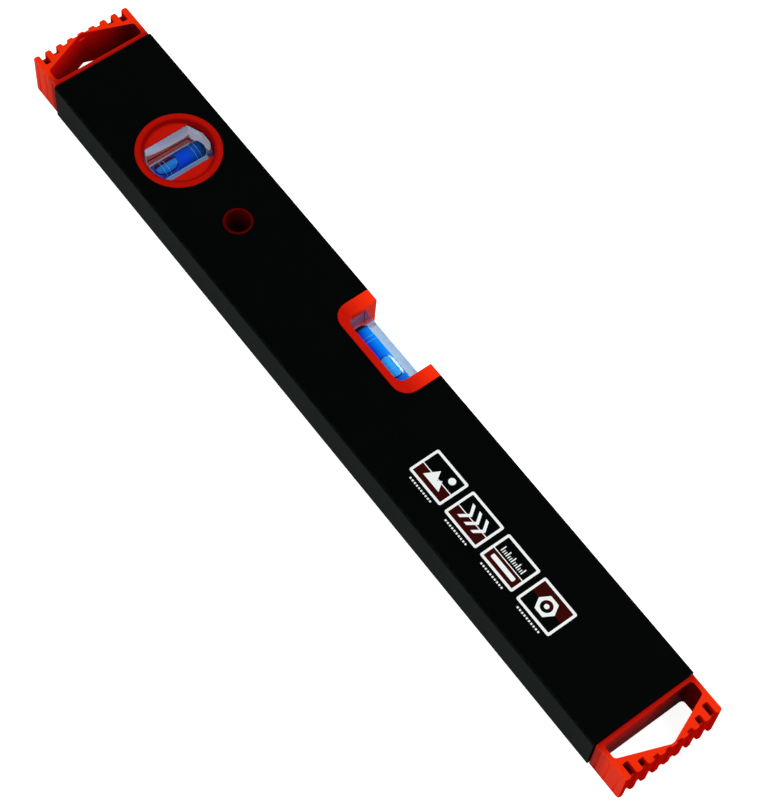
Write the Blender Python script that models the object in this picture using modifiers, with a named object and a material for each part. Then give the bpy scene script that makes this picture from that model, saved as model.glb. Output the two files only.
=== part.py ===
"""A 400 mm box-section spirit level.

An aluminium profile carries two toothed end caps, a centre vial in a notch of the top
edge, a plumb vial in a round holder, a lined hanging hole and two magnets in its base
channel. The level lies on its back: X runs along it, -Y is the measuring edge, +Z is the
front face, and z = 0 is where the rear flanges rest.
"""

import math

import bmesh
import bpy
from mathutils import Matrix, Vector

# Whole level
OVERALL_LENGTH = 0.400
FACE_HEIGHT = 0.050
BODY_THICKNESS = 0.022
FIT_GAP = 0.0003  # between any two pieces that fit together
FLANGE_SEAT = 0.0001  # under a flange that lies on a face
FLANGE_THICKNESS = 0.0004
FLANGE_LAP = 0.0014  # how far a flange covers the edge of its cut-out

# Aluminium profile
EDGE_RADIUS = 0.0014
FACE_WALL = 0.0014  # front and back
EDGE_WALL = 0.0022  # measuring edge and top edge
WEB_THICKNESS = 0.0012
WEB_CLEARANCE = 0.0003  # from the holder's hole to the webs above and below it
CHAMBER_RADIUS = 0.0006

# End caps
CAP_REACH = 0.0179  # past the profile, teeth included
CAP_EDGE_STEP = 0.0009  # behind the measuring edge and the top edge
CAP_FACE_STEP = 0.0003  # behind the front and back faces
CAP_RIM = 0.00035
CAP_CORNER_RADIUS = 0.0010
TEETH = 9
TOOTH_RADIUS = 0.0009
NOTCH_WIDTH = 0.0026
NOTCH_ROOT_RADIUS = 0.0004
NOTCH_LEAST_DEPTH = 0.0008  # down to the end wall
END_WALL = 0.0008  # closes the deep notches between the faces
END_WALL_DROP = 0.0035  # from each face to the end wall
POCKET_WEB = 0.0012  # floor of the pockets behind the end wall
POCKET_LEAST_DEPTH = 0.0006
GROOVES = 3  # on each long side of a cap
GROOVE_LEAD = 0.0037  # from the tooth tips to the first groove
GROOVE_WIDTH = 0.0014
GROOVE_DEPTH = 0.0005
GROOVE_END = 0.0012  # from each face to the end of a groove
WINDOW_SILL = 0.0021  # cap material between the profile and the window
WINDOW_RAIL = 0.0024  # above and below the window
WINDOW_SIDE = 0.0060  # straight side, before the window narrows
WINDOW_APEX_WALL = 0.0010  # from the apex to the tooth tips
WINDOW_WALL = 0.0028  # between the slanted side and the notches, along X
WINDOW_RADIUS = 0.0016
WINDOW_DRAFT = 0.00025  # widening from the parting plane to each face
SPIGOT_LENGTH = 0.0140
SPIGOT_WALL = 0.0016
SPIGOT_RADIUS = 0.0012
SPIGOT_LEAD_IN = 0.0005
SPIGOT_CELLS = 3

# Vials: bore, plug, liquid, bubble and reading rings
BORE_RADIUS = 0.00425  # at the middle of the barrel
BORE_CROWN = 0.00015  # less radius at the ends, so that the bubble finds the middle
BORE_DOME = 0.0022  # length of the rounded blind end
LIQUID_GAP = 0.0004  # from the bore to the liquid, with the rings between
PLUG_GAP = 0.0001
PLUG_STEP = 0.0003  # outer face of the plug behind the block's end
BUBBLE_LENGTH = 0.0103
BUBBLE_WIDTH = 0.0071
BUBBLE_DEPTH = 0.0030
BUBBLE_RISE = 0.0021  # centre of the bubble in front of the bore's axis
BUBBLE_GAP = 0.0002
GAUGE_LENGTH = 0.0134  # between the two inner rings
RING_SPACING = 0.0020
RING_WIDTH = 0.0003
RING_THICKNESS = 0.00015
RING_GAP = 0.0001
BLOCK_RECESS = 0.0022  # from each face of the level to the block
BLOCK_RIM = 0.0003

# Centre vial and its two-piece frame
FRAME_WIDTH = 0.0492
FRAME_DROP = 0.0197  # from the top edge to the bottom of the flange
FRAME_PRONG = 0.0066
FRAME_BAR = 0.0032
FRAME_RADIUS = 0.0073
FRAME_OPENING_RADIUS = 0.0036
FRAME_TIP_RADIUS = 0.0006
FRAME_TOP_STEP = 0.0006  # prongs end this far behind the top edge
FRAME_RIM = 0.00025
BLOCK_SEAT = 0.0008  # how far the block reaches into each prong
CENTRE_AXIS_DROP = 0.0124  # from the top edge to the bore's axis
CENTRE_SHOULDER = 0.0018  # block beyond the bore, towards each edge
CENTRE_END_WALL = 0.0028
CENTRE_LEDGE = 0.0020  # under each end of the block, on the rear half alone
CENTRE_BUBBLE_REST = 0.0076  # from the middle of the bore

# Plumb vial and its two-piece round holder
HOLDER_FROM_END = 0.075  # from the left end of the level to the holder's axis
HOLDER_RADIUS = 0.0187
HOLDER_RIM = 0.0033  # width of the flange seen from the front
HOLDER_SLOPE = 0.0004  # how much the recess narrows towards its floor
HOLDER_RECESS = 0.0014  # from each face of the level to the holder's floor
HOLDER_WALL = 0.0014
HOLDER_EDGE_RADIUS = 0.0002
HOLDER_LIP = 0.0004  # how far the front half's floor laps over the block's long sides
HOLDER_LEDGE = 0.0015  # how far the rear half's floor reaches under the block all round
PLUMB_BLOCK_LENGTH = 0.0284
PLUMB_SHOULDER = 0.0058
PLUMB_END_FLAT = 0.0059  # width of the block's end between its bevels
PLUMB_END_WALL = 0.0013
PLUMB_BUBBLE_REST = 0.0066  # from the middle of the bore

# Hanging hole
HANG_HOLE_FROM_END = 0.118
SLEEVE_FLANGE_RADIUS = 0.0064
SLEEVE_LAP = 0.0003
SLEEVE_WALL = 0.0004

# Magnets
MAGNET_FROM_END = 0.125
MAGNET_LENGTH = 0.040
MAGNET_RIM = 0.0004

# Fineness of the round forms
ARC_STEPS = 3
TOOTH_STEPS = 2
HOLDER_SEGMENTS = 48
SLEEVE_SEGMENTS = 32
VIAL_SEGMENTS = 28
BARREL_STEPS = 4
RIM_SEGMENTS = 2
SMOOTH_ANGLE = math.radians(32)
WELD = 1e-6
OVERCUT = 0.002  # how far a cutter runs past the material
HALF_TURN = Matrix.Rotation(math.pi, 4, "Y")

# Places worked out from the sizes above; Z is counted from the level's middle plane
PROUD = FLANGE_SEAT + FLANGE_THICKNESS
HALF_THICKNESS = BODY_THICKNESS / 2
LEFT_END = -OVERALL_LENGTH / 2
TOP_EDGE = FACE_HEIGHT / 2
PROFILE_END = OVERALL_LENGTH / 2 - CAP_REACH
CAP_HALF_HEIGHT = TOP_EDGE - CAP_EDGE_STEP
TOOTH_PITCH = (2 * CAP_HALF_HEIGHT + NOTCH_WIDTH) / TEETH
TOOTH_WIDTH = TOOTH_PITCH - NOTCH_WIDTH
HOLDER_HOLE_RADIUS = HOLDER_RADIUS - FLANGE_LAP
CHAMBER_TOP = HOLDER_HOLE_RADIUS + WEB_CLEARANCE
BLOCK_HALF_THICKNESS = HALF_THICKNESS - BLOCK_RECESS
FRAME_BOTTOM = TOP_EDGE - FRAME_DROP
OPENING_HALF_WIDTH = FRAME_WIDTH / 2 - FRAME_PRONG
CENTRE_BLOCK_HALF_LENGTH = OPENING_HALF_WIDTH + BLOCK_SEAT - FIT_GAP
HOLDER_BARREL_RADIUS = HOLDER_HOLE_RADIUS - FIT_GAP
PLUMB_BLOCK_RADIUS = HOLDER_RADIUS - HOLDER_RIM - HOLDER_SLOPE
PLUMB_BLOCK_HALF_WIDTH = BORE_RADIUS + PLUMB_SHOULDER
SLEEVE_HOLE_RADIUS = SLEEVE_FLANGE_RADIUS - SLEEVE_LAP

# Finishes: colour, roughness, metallic, transmission
BLACK_PAINT = ((0.004, 0.005, 0.005), 0.42, 0.0, 0.0)
RED_PLASTIC = ((0.80, 0.028, 0.004), 0.38, 0.0, 0.0)
CLEAR_ACRYLIC = ((0.90, 0.94, 1.0), 0.04, 0.0, 1.0)
BLUE_LIQUID = ((0.0, 0.09, 0.75), 0.05, 0.0, 0.6)
CLEAR_BUBBLE = ((0.55, 0.80, 1.0), 0.03, 0.0, 1.0)
WHITE_RING = ((0.85, 0.90, 0.95), 0.40, 0.0, 0.0)
MAGNET_NICKEL = ((0.55, 0.54, 0.52), 0.25, 1.0, 0.0)


def new_collection(name):
    collection = bpy.data.collections.new(name)
    bpy.context.scene.collection.children.link(collection)
    return collection


def clear_scene():
    for obj in list(bpy.data.objects):
        bpy.data.objects.remove(obj)


clear_scene()
PARTS = new_collection("spirit_level")
CUTTERS = new_collection("cutters")


def new_empty(name, location, parent=None, turn=0.0):
    empty = bpy.data.objects.new(name, None)
    empty.location = location
    empty.rotation_euler = (0, 0, turn)
    empty.parent = parent
    PARTS.objects.link(empty)
    return empty


def new_object(name, mesh, parent):
    obj = bpy.data.objects.new(name, mesh)
    obj.parent = parent
    PARTS.objects.link(obj)
    return obj


def give_finish(obj, finish):
    colour, roughness, metallic, transmission = finish
    material = bpy.data.materials.new(obj.name)
    material.use_nodes = True
    shader = material.node_tree.nodes["Principled BSDF"]
    shader.inputs["Base Color"].default_value = (*colour, 1)
    shader.inputs["Roughness"].default_value = roughness
    shader.inputs["Metallic"].default_value = metallic
    shader.inputs["Transmission Weight"].default_value = transmission
    material.diffuse_color = (*colour, 1)
    obj.data.materials.clear()
    obj.data.materials.append(material)


def rounded(corners, steps=ARC_STEPS):
    """The points of an outline through (x, y, radius) corners, each turned by an arc."""
    points = []
    for index, (x, y, radius) in enumerate(corners):
        corner = Vector((x, y))
        if not radius:
            points.append(corner)
            continue
        back = (Vector(corners[index - 1][:2]) - corner).normalized()
        ahead = (Vector(corners[(index + 1) % len(corners)][:2]) - corner).normalized()
        half = back.angle(ahead) / 2
        centre = corner + (back + ahead).normalized() * radius / math.sin(half)
        start = corner + back * radius / math.tan(half) - centre
        end = corner + ahead * radius / math.tan(half) - centre
        turn = math.atan2(start.cross(end), start.dot(end))
        for step in range(steps + 1):
            points.append(centre + Matrix.Rotation(turn * step / steps, 2) @ start)
    return points


def rectangle(left, bottom, right, top, radius=0.0):
    corners = ((left, bottom), (right, bottom), (right, top), (left, top))
    return rounded([(x, y, radius) for x, y in corners])


def disc_slab(half_width, radius):
    """A disc with its sides cut off straight, at half_width from the X axis."""
    reach = math.asin(half_width / radius)
    steps = HOLDER_SEGMENTS // 6
    angles = [reach * (2 * step / steps - 1) for step in range(steps + 1)]
    right = [Vector((radius * math.cos(a), radius * math.sin(a))) for a in angles]
    return right + [-point for point in right]


def disc_segment(chord, radius):
    """The part of a disc beyond a chord at this distance on the Y side."""
    reach = math.acos(chord / radius)
    steps = HOLDER_SEGMENTS // 6
    angles = [math.pi / 2 + reach * (2 * step / steps - 1) for step in range(steps + 1)]
    return [Vector((radius * math.cos(a), radius * math.sin(a))) for a in angles]


def plate(name, outlines, low, high, parent):
    """A flat piece between two heights: one outline, then any holes in it."""
    curve = bpy.data.curves.new(name, "CURVE")
    curve.dimensions = "2D"
    curve.fill_mode = "BOTH"
    curve.extrude = (high - low) / 2
    for outline in outlines:
        spline = curve.splines.new("POLY")
        spline.points.add(len(outline) - 1)
        spline.use_cyclic_u = True
        for point, (x, y) in zip(spline.points, outline):
            point.co = (x, y, 0, 1)
    drawn = bpy.data.objects.new(name, curve)
    PARTS.objects.link(drawn)
    graph = bpy.context.evaluated_depsgraph_get()
    mesh = bpy.data.meshes.new_from_object(drawn.evaluated_get(graph))
    bpy.data.objects.remove(drawn)
    form = bmesh.new()
    form.from_mesh(mesh)
    bmesh.ops.remove_doubles(form, verts=form.verts, dist=WELD)
    bmesh.ops.translate(form, verts=form.verts, vec=(0, 0, (low + high) / 2))
    bmesh.ops.dissolve_limit(
        form, angle_limit=math.radians(0.5), verts=form.verts, edges=form.edges
    )
    bmesh.ops.recalc_face_normals(form, faces=form.faces)
    form.to_mesh(mesh)
    form.free()
    shade(mesh)
    return new_object(name, mesh, parent)


def turned(name, profile, parent, segments, closed=False, along_x=False):
    """A turned piece from (radius, height) points, running down its outer side."""
    count = len(profile)
    edges = [(index, index + 1) for index in range(count - 1)]
    if closed:
        edges.append((count - 1, 0))
    mesh = bpy.data.meshes.new(name)
    mesh.from_pydata([(radius, 0, height) for radius, height in profile], edges, [])
    obj = new_object(name, mesh, parent)
    if along_x:
        obj.rotation_euler = (0, math.pi / 2, 0)
    screw = obj.modifiers.new("turn", "SCREW")
    screw.steps = segments
    screw.render_steps = segments
    screw.use_merge_vertices = True
    screw.merge_threshold = WELD
    screw.use_smooth_shade = True
    return obj


def shade(mesh):
    mesh.shade_smooth()
    mesh.set_sharp_from_angle(angle=SMOOTH_ANGLE)


def soften(obj, width, segments=RIM_SEGMENTS):
    bevel = obj.modifiers.new("soft edges", "BEVEL")
    bevel.width = width
    bevel.segments = segments
    bevel.limit_method = "ANGLE"
    bevel.angle_limit = math.radians(50)


def even_shading(obj):
    """Keeps large flat faces flat where they meet a rounded edge."""
    normals = obj.modifiers.new("even shading", "WEIGHTED_NORMAL")
    normals.keep_sharp = True


def combine(obj, other, operation):
    boolean = obj.modifiers.new(other.name, "BOOLEAN")
    boolean.operation = operation
    boolean.object = other
    PARTS.objects.unlink(other)
    CUTTERS.objects.link(other)
    other.hide_render = True
    other.display_type = "WIRE"


def cut(obj, cutter):
    combine(obj, cutter, "DIFFERENCE")


def join(obj, other):
    combine(obj, other, "UNION")


def keep_within(obj, limit):
    combine(obj, limit, "INTERSECT")


def settle(obj):
    """Turns the object's modifiers into its plain mesh, which a copy can share."""
    bpy.context.view_layer.update()
    graph = bpy.context.evaluated_depsgraph_get()
    mesh = bpy.data.meshes.new_from_object(obj.evaluated_get(graph))
    obj.modifiers.clear()
    obj.data = mesh
    shade(mesh)


def turned_over(obj, name):
    """A second copy of a piece, turned half round about the level's Y direction."""
    copy = new_object(name, obj.data, obj.parent)
    copy.rotation_euler = (0, math.pi, 0)
    return copy


def box_profile(level):
    """The extrusion: three chambers, then the notch, the holder's hole and the hang hole."""
    side = HALF_THICKNESS - FACE_WALL
    channel_low = CHAMBER_TOP + WEB_THICKNESS
    channel_high = TOP_EDGE - EDGE_WALL
    sections = (
        (-TOP_EDGE, TOP_EDGE, HALF_THICKNESS, EDGE_RADIUS),
        (-CHAMBER_TOP, CHAMBER_TOP, side, CHAMBER_RADIUS),
        (channel_low, channel_high, side, CHAMBER_RADIUS),
        (-channel_high, -channel_low, side, CHAMBER_RADIUS),
    )
    outlines = [rectangle(low, -half, high, half, radius) for low, high, half, radius in sections]
    profile = plate("box_profile", outlines, -PROFILE_END, PROFILE_END, level)
    profile.data.transform(Matrix(((0, 0, 1, 0), (1, 0, 0, 0), (0, 1, 0, 0), (0, 0, 0, 1))))
    cut(profile, notch_cutter(level))
    cut(profile, hole_cutter("holder_hole", HOLDER_HOLE_RADIUS, HOLDER_FROM_END, level))
    cut(profile, hole_cutter("hang_hole", SLEEVE_HOLE_RADIUS, HANG_HOLE_FROM_END, level))
    even_shading(profile)
    give_finish(profile, BLACK_PAINT)


def notch_cutter(level):
    half = FRAME_WIDTH / 2 - FLANGE_LAP
    bottom = FRAME_BOTTOM + FLANGE_LAP
    depth = HALF_THICKNESS + OVERCUT
    return plate("notch", [u_bottom(half, bottom, TOP_EDGE + OVERCUT, FLANGE_LAP)], -depth, depth, level)


def u_bottom(half, bottom, top, inset):
    """The outline of the notch: straight sides and two round lower corners."""
    radius = FRAME_RADIUS - inset
    return rounded(
        [(-half, bottom, radius), (half, bottom, radius), (half, top, 0), (-half, top, 0)],
        steps=2 * ARC_STEPS,
    )


def hole_cutter(name, radius, from_end, level):
    depth = HALF_THICKNESS + OVERCUT
    profile = [(0, depth), (radius, depth), (radius, -depth), (0, -depth)]
    cutter = turned(name, profile, level, HOLDER_SEGMENTS)
    cutter.location = (LEFT_END + from_end, 0, 0)
    return cutter


def window_corners():
    """The five corners of a cap's window, from the sill round to the apex."""
    tip = OVERALL_LENGTH / 2
    sill = PROFILE_END + FIT_GAP + WINDOW_SILL
    high = CAP_HALF_HEIGHT - WINDOW_RAIL
    shoulder = sill + WINDOW_SIDE
    return [
        Vector((sill, -high)),
        Vector((shoulder, -high)),
        Vector((tip - WINDOW_APEX_WALL, 0)),
        Vector((shoulder, high)),
        Vector((sill, high)),
    ]


def grown(corners, distance):
    """The same corners with every side moved out by this distance."""
    moved = []
    for index, corner in enumerate(corners):
        back = (corner - corners[index - 1]).normalized()
        ahead = (corners[(index + 1) % len(corners)] - corner).normalized()
        outward = Vector((back.y + ahead.y, -back.x - ahead.x))
        moved.append(corner + outward * distance / (1 + back.dot(ahead)))
    return moved


def window_cutter(level):
    """The window, narrowest at the parting plane, where the two mould halves met."""
    half = HALF_THICKNESS + OVERCUT
    heights = (-half, 0, half)
    grow = (WINDOW_DRAFT * half / HALF_THICKNESS, 0, WINDOW_DRAFT * half / HALF_THICKNESS)
    form = bmesh.new()
    rings = []
    for height, distance in zip(heights, grow):
        corners = [(x, y, WINDOW_RADIUS) for x, y in grown(window_corners(), distance)]
        rings.append([form.verts.new((x, y, height)) for x, y in rounded(corners)])
    form.faces.new(reversed(rings[0]))
    form.faces.new(rings[-1])
    for lower, upper in zip(rings, rings[1:]):
        for index in range(len(lower)):
            form.faces.new((lower[index - 1], lower[index], upper[index], upper[index - 1]))
    mesh = bpy.data.meshes.new("window")
    form.to_mesh(mesh)
    form.free()
    return new_object("window", mesh, level)


def window_edge(y):
    """How far out the window's slanted side is at this height."""
    _, shoulder, apex, _, _ = window_corners()
    along = 1 - abs(y) / abs(shoulder.y)
    return shoulder.x + (apex.x - shoulder.x) * along


def notches():
    """(start, end, depth) of each notch between the teeth: deep near the cap's corners."""
    tip = OVERALL_LENGTH / 2
    places = []
    for number in range(TEETH - 1):
        start = TOOTH_WIDTH + number * TOOTH_PITCH - CAP_HALF_HEIGHT
        end = start + NOTCH_WIDTH
        wall = window_edge((start + end) / 2) + WINDOW_WALL
        places.append((start, end, max(NOTCH_LEAST_DEPTH, tip - wall)))
    return places


def cap_outline():
    shoulder = PROFILE_END + FIT_GAP
    tip = OVERALL_LENGTH / 2
    corners = [(shoulder, -CAP_HALF_HEIGHT, 0), (tip, -CAP_HALF_HEIGHT, CAP_CORNER_RADIUS)]
    for start, end, depth in notches():
        tip_radius = min(TOOTH_RADIUS, depth / 2)
        corners.append((tip, start, tip_radius))
        corners.append((tip - depth, start, NOTCH_ROOT_RADIUS))
        corners.append((tip - depth, end, NOTCH_ROOT_RADIUS))
        corners.append((tip, end, tip_radius))
    corners += [(tip, CAP_HALF_HEIGHT, CAP_CORNER_RADIUS), (shoulder, CAP_HALF_HEIGHT, 0)]
    return rounded(corners, TOOTH_STEPS)


def end_wall(level):
    """The wall across the notches, set back from both faces of the cap."""
    outer = OVERALL_LENGTH / 2 - NOTCH_LEAST_DEPTH
    depth = HALF_THICKNESS - CAP_FACE_STEP - END_WALL_DROP
    height = CAP_HALF_HEIGHT - TOOTH_WIDTH / 2
    outline = rectangle(outer - END_WALL, -height, outer, height)
    return plate("end_wall", [outline], -depth, depth, level)


def pocket_webs(level):
    """The floors of the pockets that lie behind the end wall."""
    back = OVERALL_LENGTH / 2 - NOTCH_LEAST_DEPTH - END_WALL / 2
    lap = TOOTH_WIDTH / 4
    webs = []
    for start, end, depth in notches():
        if depth > NOTCH_LEAST_DEPTH + END_WALL + POCKET_LEAST_DEPTH:
            root = OVERALL_LENGTH / 2 - depth - WINDOW_WALL / 3
            webs.append(rectangle(root, start - lap, back, end + lap))
    return plate("pocket_webs", webs, -POCKET_WEB / 2, POCKET_WEB / 2, level)


def side_grooves(level):
    """Cutters for the shallow grip grooves of a cap, which stop short of its faces."""
    depth = HALF_THICKNESS - CAP_FACE_STEP - GROOVE_END
    cutters = []
    for side in (-CAP_HALF_HEIGHT, CAP_HALF_HEIGHT):
        for number in range(GROOVES):
            x = OVERALL_LENGTH / 2 - GROOVE_LEAD - number * TOOTH_PITCH
            points = ((-GROOVE_WIDTH / 2, 0), (0, -GROOVE_DEPTH), (GROOVE_WIDTH / 2, 0), (0, GROOVE_DEPTH))
            cutters.append([Vector((x + across, side + along)) for across, along in points])
    return plate("side_grooves", cutters, -depth, depth, level)


def end_caps(level):
    half = HALF_THICKNESS - CAP_FACE_STEP
    right = plate("right_end_cap", [cap_outline()], -half, half, level)
    soften(right, CAP_RIM)
    cut(right, window_cutter(level))
    join(right, end_wall(level))
    join(right, pocket_webs(level))
    cut(right, side_grooves(level))
    join(right, spigot(level))
    settle(right)
    give_finish(right, RED_PLASTIC)
    turned_over(right, "left_end_cap")


def spigot(level):
    """The hollow plug of a cap, which fills the profile's middle chamber."""
    half_height = CHAMBER_TOP - FIT_GAP
    half_depth = HALF_THICKNESS - FACE_WALL - FIT_GAP
    inner = PROFILE_END - SPIGOT_LENGTH
    shoulder = PROFILE_END + FIT_GAP
    outer = shoulder + WINDOW_SILL / 2
    outline = rectangle(inner, -half_height, outer, half_height, SPIGOT_RADIUS)
    body = plate("spigot", [outline], -half_depth, half_depth, level)
    soften(body, SPIGOT_LEAD_IN, 1)
    cell_depth = half_depth - SPIGOT_WALL
    cell_pitch = (2 * half_height - SPIGOT_WALL) / SPIGOT_CELLS
    for number in range(SPIGOT_CELLS):
        low = -half_height + SPIGOT_WALL + number * cell_pitch
        high = low + cell_pitch - SPIGOT_WALL
        cell = rectangle(inner - OVERCUT, low, shoulder - SPIGOT_WALL, high)
        cut(body, plate(f"spigot_cell_{number + 1}", [cell], -cell_depth, cell_depth, level))
    return body


def centre_frame(level):
    """The U of the centre vial, in two halves that meet at the middle plane."""
    frame_half("centre_frame_front", level)
    rear = frame_half("centre_frame_rear", level, [frame_ledges(level)])
    rear.data.transform(HALF_TURN)


def frame_half(name, level, ledges=()):
    """The front half of the U; turned over, it is the rear one."""
    top = TOP_EDGE - FRAME_TOP_STEP
    half = FRAME_WIDTH / 2
    opening = FRAME_BOTTOM + FRAME_BAR
    inner = OPENING_HALF_WIDTH
    outline = rounded(
        [
            (-half, FRAME_BOTTOM, FRAME_RADIUS),
            (half, FRAME_BOTTOM, FRAME_RADIUS),
            (half, top, 0),
            (inner, top, FRAME_TIP_RADIUS),
            (inner, opening, FRAME_OPENING_RADIUS),
            (-inner, opening, FRAME_OPENING_RADIUS),
            (-inner, top, FRAME_TIP_RADIUS),
            (-half, top, 0),
        ],
        steps=2 * ARC_STEPS,
    )
    face = HALF_THICKNESS + PROUD
    frame = plate(name, [outline], FIT_GAP / 2, face, level)
    soften(frame, FRAME_RIM)
    cut(frame, frame_rebate(level))
    for ledge in ledges:
        join(frame, ledge)
    cut(frame, block_pocket("centre_pocket", centre_block_outline(FIT_GAP), centre_vial_place(level)))
    settle(frame)
    give_finish(frame, RED_PLASTIC)
    return frame


def frame_ledges(level):
    """The two feet that carry the ends of the centre block."""
    low = FRAME_BOTTOM + FRAME_BAR * 3 / 4
    high = TOP_EDGE - CENTRE_AXIS_DROP + BORE_RADIUS + CENTRE_SHOULDER
    inner = OPENING_HALF_WIDTH - CENTRE_LEDGE
    outer = OPENING_HALF_WIDTH + BLOCK_SEAT
    feet = [rectangle(inner, low, outer, high), rectangle(-outer, low, -inner, high)]
    return plate("frame_ledges", feet, BLOCK_HALF_THICKNESS, HALF_THICKNESS, level)


def frame_rebate(level):
    """What is cut from round the frame's body, so that only the flange laps the profile."""
    lap = FLANGE_LAP + FIT_GAP
    half = FRAME_WIDTH / 2
    top = TOP_EDGE + 2 * OVERCUT
    around = rectangle(-half - OVERCUT, FRAME_BOTTOM - OVERCUT, half + OVERCUT, top)
    body = u_bottom(half - lap, FRAME_BOTTOM + lap, TOP_EDGE + OVERCUT, lap)
    return plate("frame_rebate", [around, body], -OVERCUT, HALF_THICKNESS + FLANGE_SEAT, level)


def block_pocket(name, outline, vial):
    """Room for half of a vial block, open at the middle plane."""
    return plate(name, [outline], -OVERCUT, BLOCK_HALF_THICKNESS + FIT_GAP, vial)


def centre_block_outline(growth=0.0):
    half_length = CENTRE_BLOCK_HALF_LENGTH + growth
    half_height = BORE_RADIUS + CENTRE_SHOULDER + growth
    return rectangle(-half_length, -half_height, half_length, half_height)


def plumb_block_outline():
    """A slab along X whose ends are bevelled to fit the round holder."""
    end = PLUMB_BLOCK_LENGTH / 2
    flat = PLUMB_END_FLAT / 2
    side = PLUMB_BLOCK_HALF_WIDTH
    bevel = math.sqrt(PLUMB_BLOCK_RADIUS**2 - side**2)
    half = [(end, -flat), (end, flat), (bevel, side), (-bevel, side)]
    return [Vector((x, y)) for x, y in half] + [Vector((-x, -y)) for x, y in half]


def centre_vial_place(level):
    return new_empty("centre_vial", (0, TOP_EDGE - CENTRE_AXIS_DROP, 0), level)


def plumb_vial_place(level):
    place = (LEFT_END + HOLDER_FROM_END, 0, 0)
    return new_empty("plumb_vial", place, level, turn=-math.pi / 2)


def plumb_holder(level):
    """The round holder of the plumb vial, in two halves that meet at the middle plane."""
    vial = plumb_vial_place(level)
    holder_half("plumb_holder_front", HOLDER_LIP, 0, vial, level)
    rear = holder_half("plumb_holder_rear", HOLDER_LEDGE, HOLDER_LEDGE, vial, level)
    rear.data.transform(HALF_TURN)


def holder_half(name, side_lap, end_lap, vial, level):
    """The front half of the holder; turned over, it is the rear one."""
    opening = HOLDER_RADIUS - HOLDER_RIM
    floor = HALF_THICKNESS - HOLDER_RECESS
    face = HALF_THICKNESS + PROUD
    seat = HALF_THICKNESS + FLANGE_SEAT
    barrel = HOLDER_BARREL_RADIUS
    edge = HOLDER_EDGE_RADIUS
    profile = rounded(
        [
            (0, floor, 0),
            (opening - HOLDER_SLOPE, floor, 0),
            (opening, face, edge),
            (HOLDER_RADIUS, face, edge),
            (HOLDER_RADIUS, seat, 0),
            (barrel, seat, 0),
            (barrel, FIT_GAP / 2, 0),
            (0, FIT_GAP / 2, 0),
        ],
        steps=1,
    )
    half = turned(name, profile, level, HOLDER_SEGMENTS)
    half.location = (LEFT_END + HOLDER_FROM_END, 0, 0)
    pocket = disc_slab(PLUMB_BLOCK_HALF_WIDTH + FIT_GAP, PLUMB_BLOCK_RADIUS + FIT_GAP)
    cut(half, block_pocket("plumb_pocket", pocket, vial))
    slot = disc_slab(PLUMB_BLOCK_HALF_WIDTH - side_lap, PLUMB_BLOCK_RADIUS - end_lap)
    cut(half, plate("plumb_slot", [slot], 0, floor + OVERCUT, vial))
    for side, turn in (("left", 0), ("right", math.pi)):
        core = plate(f"holder_core_{side}", [holder_core()], -OVERCUT, floor - HOLDER_WALL, vial)
        core.rotation_euler = (0, 0, turn)
        cut(half, core)
    settle(half)
    give_finish(half, RED_PLASTIC)
    return half


def holder_core():
    """The hollow that keeps the walls even, beside the block."""
    chord = PLUMB_BLOCK_HALF_WIDTH + FIT_GAP + HOLDER_WALL
    return disc_segment(chord, HOLDER_BARREL_RADIUS - HOLDER_WALL)


def bore_radius(x, half_length):
    """The barrel is a little wider at its middle than at its ends."""
    return BORE_RADIUS - BORE_CROWN * (x / half_length) ** 2


def barrel_points(half_length, inset):
    """(radius, x) points down a barrel: from its plugged end to the tip of its dome."""
    start = half_length - inset
    bend = inset + BORE_DOME - half_length
    side = [start + (bend - start) * step / BARREL_STEPS for step in range(BARREL_STEPS + 1)]
    points = [(bore_radius(x, half_length) - inset, x) for x in side]
    widest = points[-1][0]
    for step in range(1, BARREL_STEPS + 1):
        angle = math.pi / 2 * step / BARREL_STEPS
        points.append((widest * math.cos(angle), bend - BORE_DOME * math.sin(angle)))
    points[-1] = (0, bend - BORE_DOME)
    return points


def bore_cutter(name, half_length, plug_end, vial):
    mouth = bore_radius(half_length, half_length)
    far = plug_end + OVERCUT
    profile = [(0, far), (mouth, far), *barrel_points(half_length, 0)]
    return turned(f"{name}_bore", profile, vial, VIAL_SEGMENTS, along_x=True)


def bubble_form(name, x, growth, vial):
    """An egg-shaped bubble or its hollow, risen against the front of the bore."""
    form = bmesh.new()
    bmesh.ops.create_uvsphere(form, u_segments=VIAL_SEGMENTS, v_segments=12, radius=1)
    bmesh.ops.rotate(form, verts=form.verts, matrix=Matrix.Rotation(math.pi / 2, 3, "Y"))
    size = [length / 2 + growth for length in (BUBBLE_LENGTH, BUBBLE_WIDTH, BUBBLE_DEPTH)]
    bmesh.ops.scale(form, verts=form.verts, vec=size)
    mesh = bpy.data.meshes.new(name)
    form.to_mesh(mesh)
    form.free()
    shade(mesh)
    obj = new_object(name, mesh, vial)
    obj.location = (x, 0, BUBBLE_RISE)
    return obj


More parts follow.
